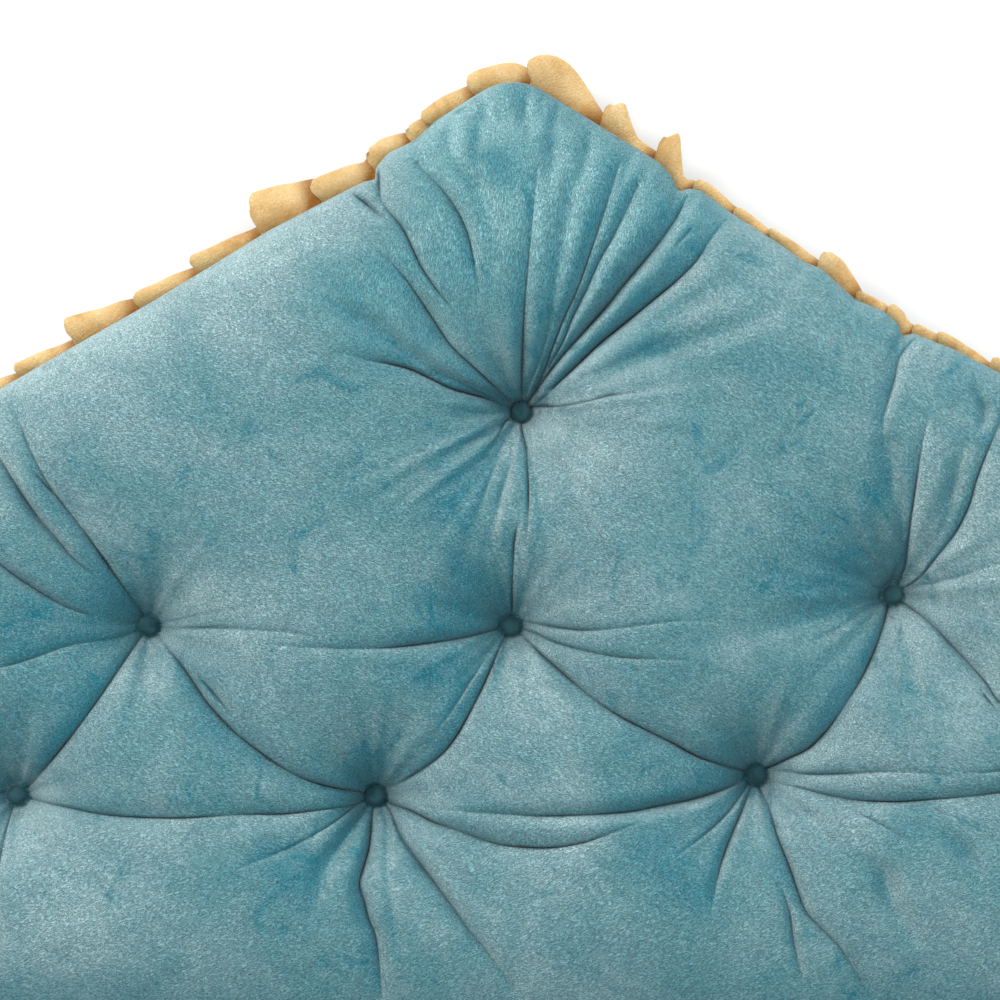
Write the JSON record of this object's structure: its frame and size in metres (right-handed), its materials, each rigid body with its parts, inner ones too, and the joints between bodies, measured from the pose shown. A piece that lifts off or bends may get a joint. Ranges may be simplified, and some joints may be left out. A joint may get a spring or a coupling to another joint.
{
  "type": "tufted headboard pillow",
  "caption": "Large peaked headboard pillow in teal plush with button tufts, deep folds and a golden pleated ruffle in its seam.",
  "frame": {"origin": "middle of the flat back face, halfway across the width and halfway up the height", "axes": "+Z out of the tufted front, +Y toward the peak, +X to the right seen from the front; the pillow lies on its back"},
  "size_m": [1.5342, 0.9305, 0.1484],
  "materials": {
    "teal_plush": "short-pile plush with a brushed nap",
    "golden_plush": "short-pile plush, doubled and pleated",
    "button_cloth": "dark plush drawn tight over a button"
  },
  "bodies": {
    "root": {"cushion": "teal_plush", "ruffle": "golden_plush", "button_1": "button_cloth", "button_2": "button_cloth", "button_3": "button_cloth", "button_4": "button_cloth", "button_5": "button_cloth", "button_6": "button_cloth", "button_7": "button_cloth", "button_8": "button_cloth"}
  },
  "joints": []
}
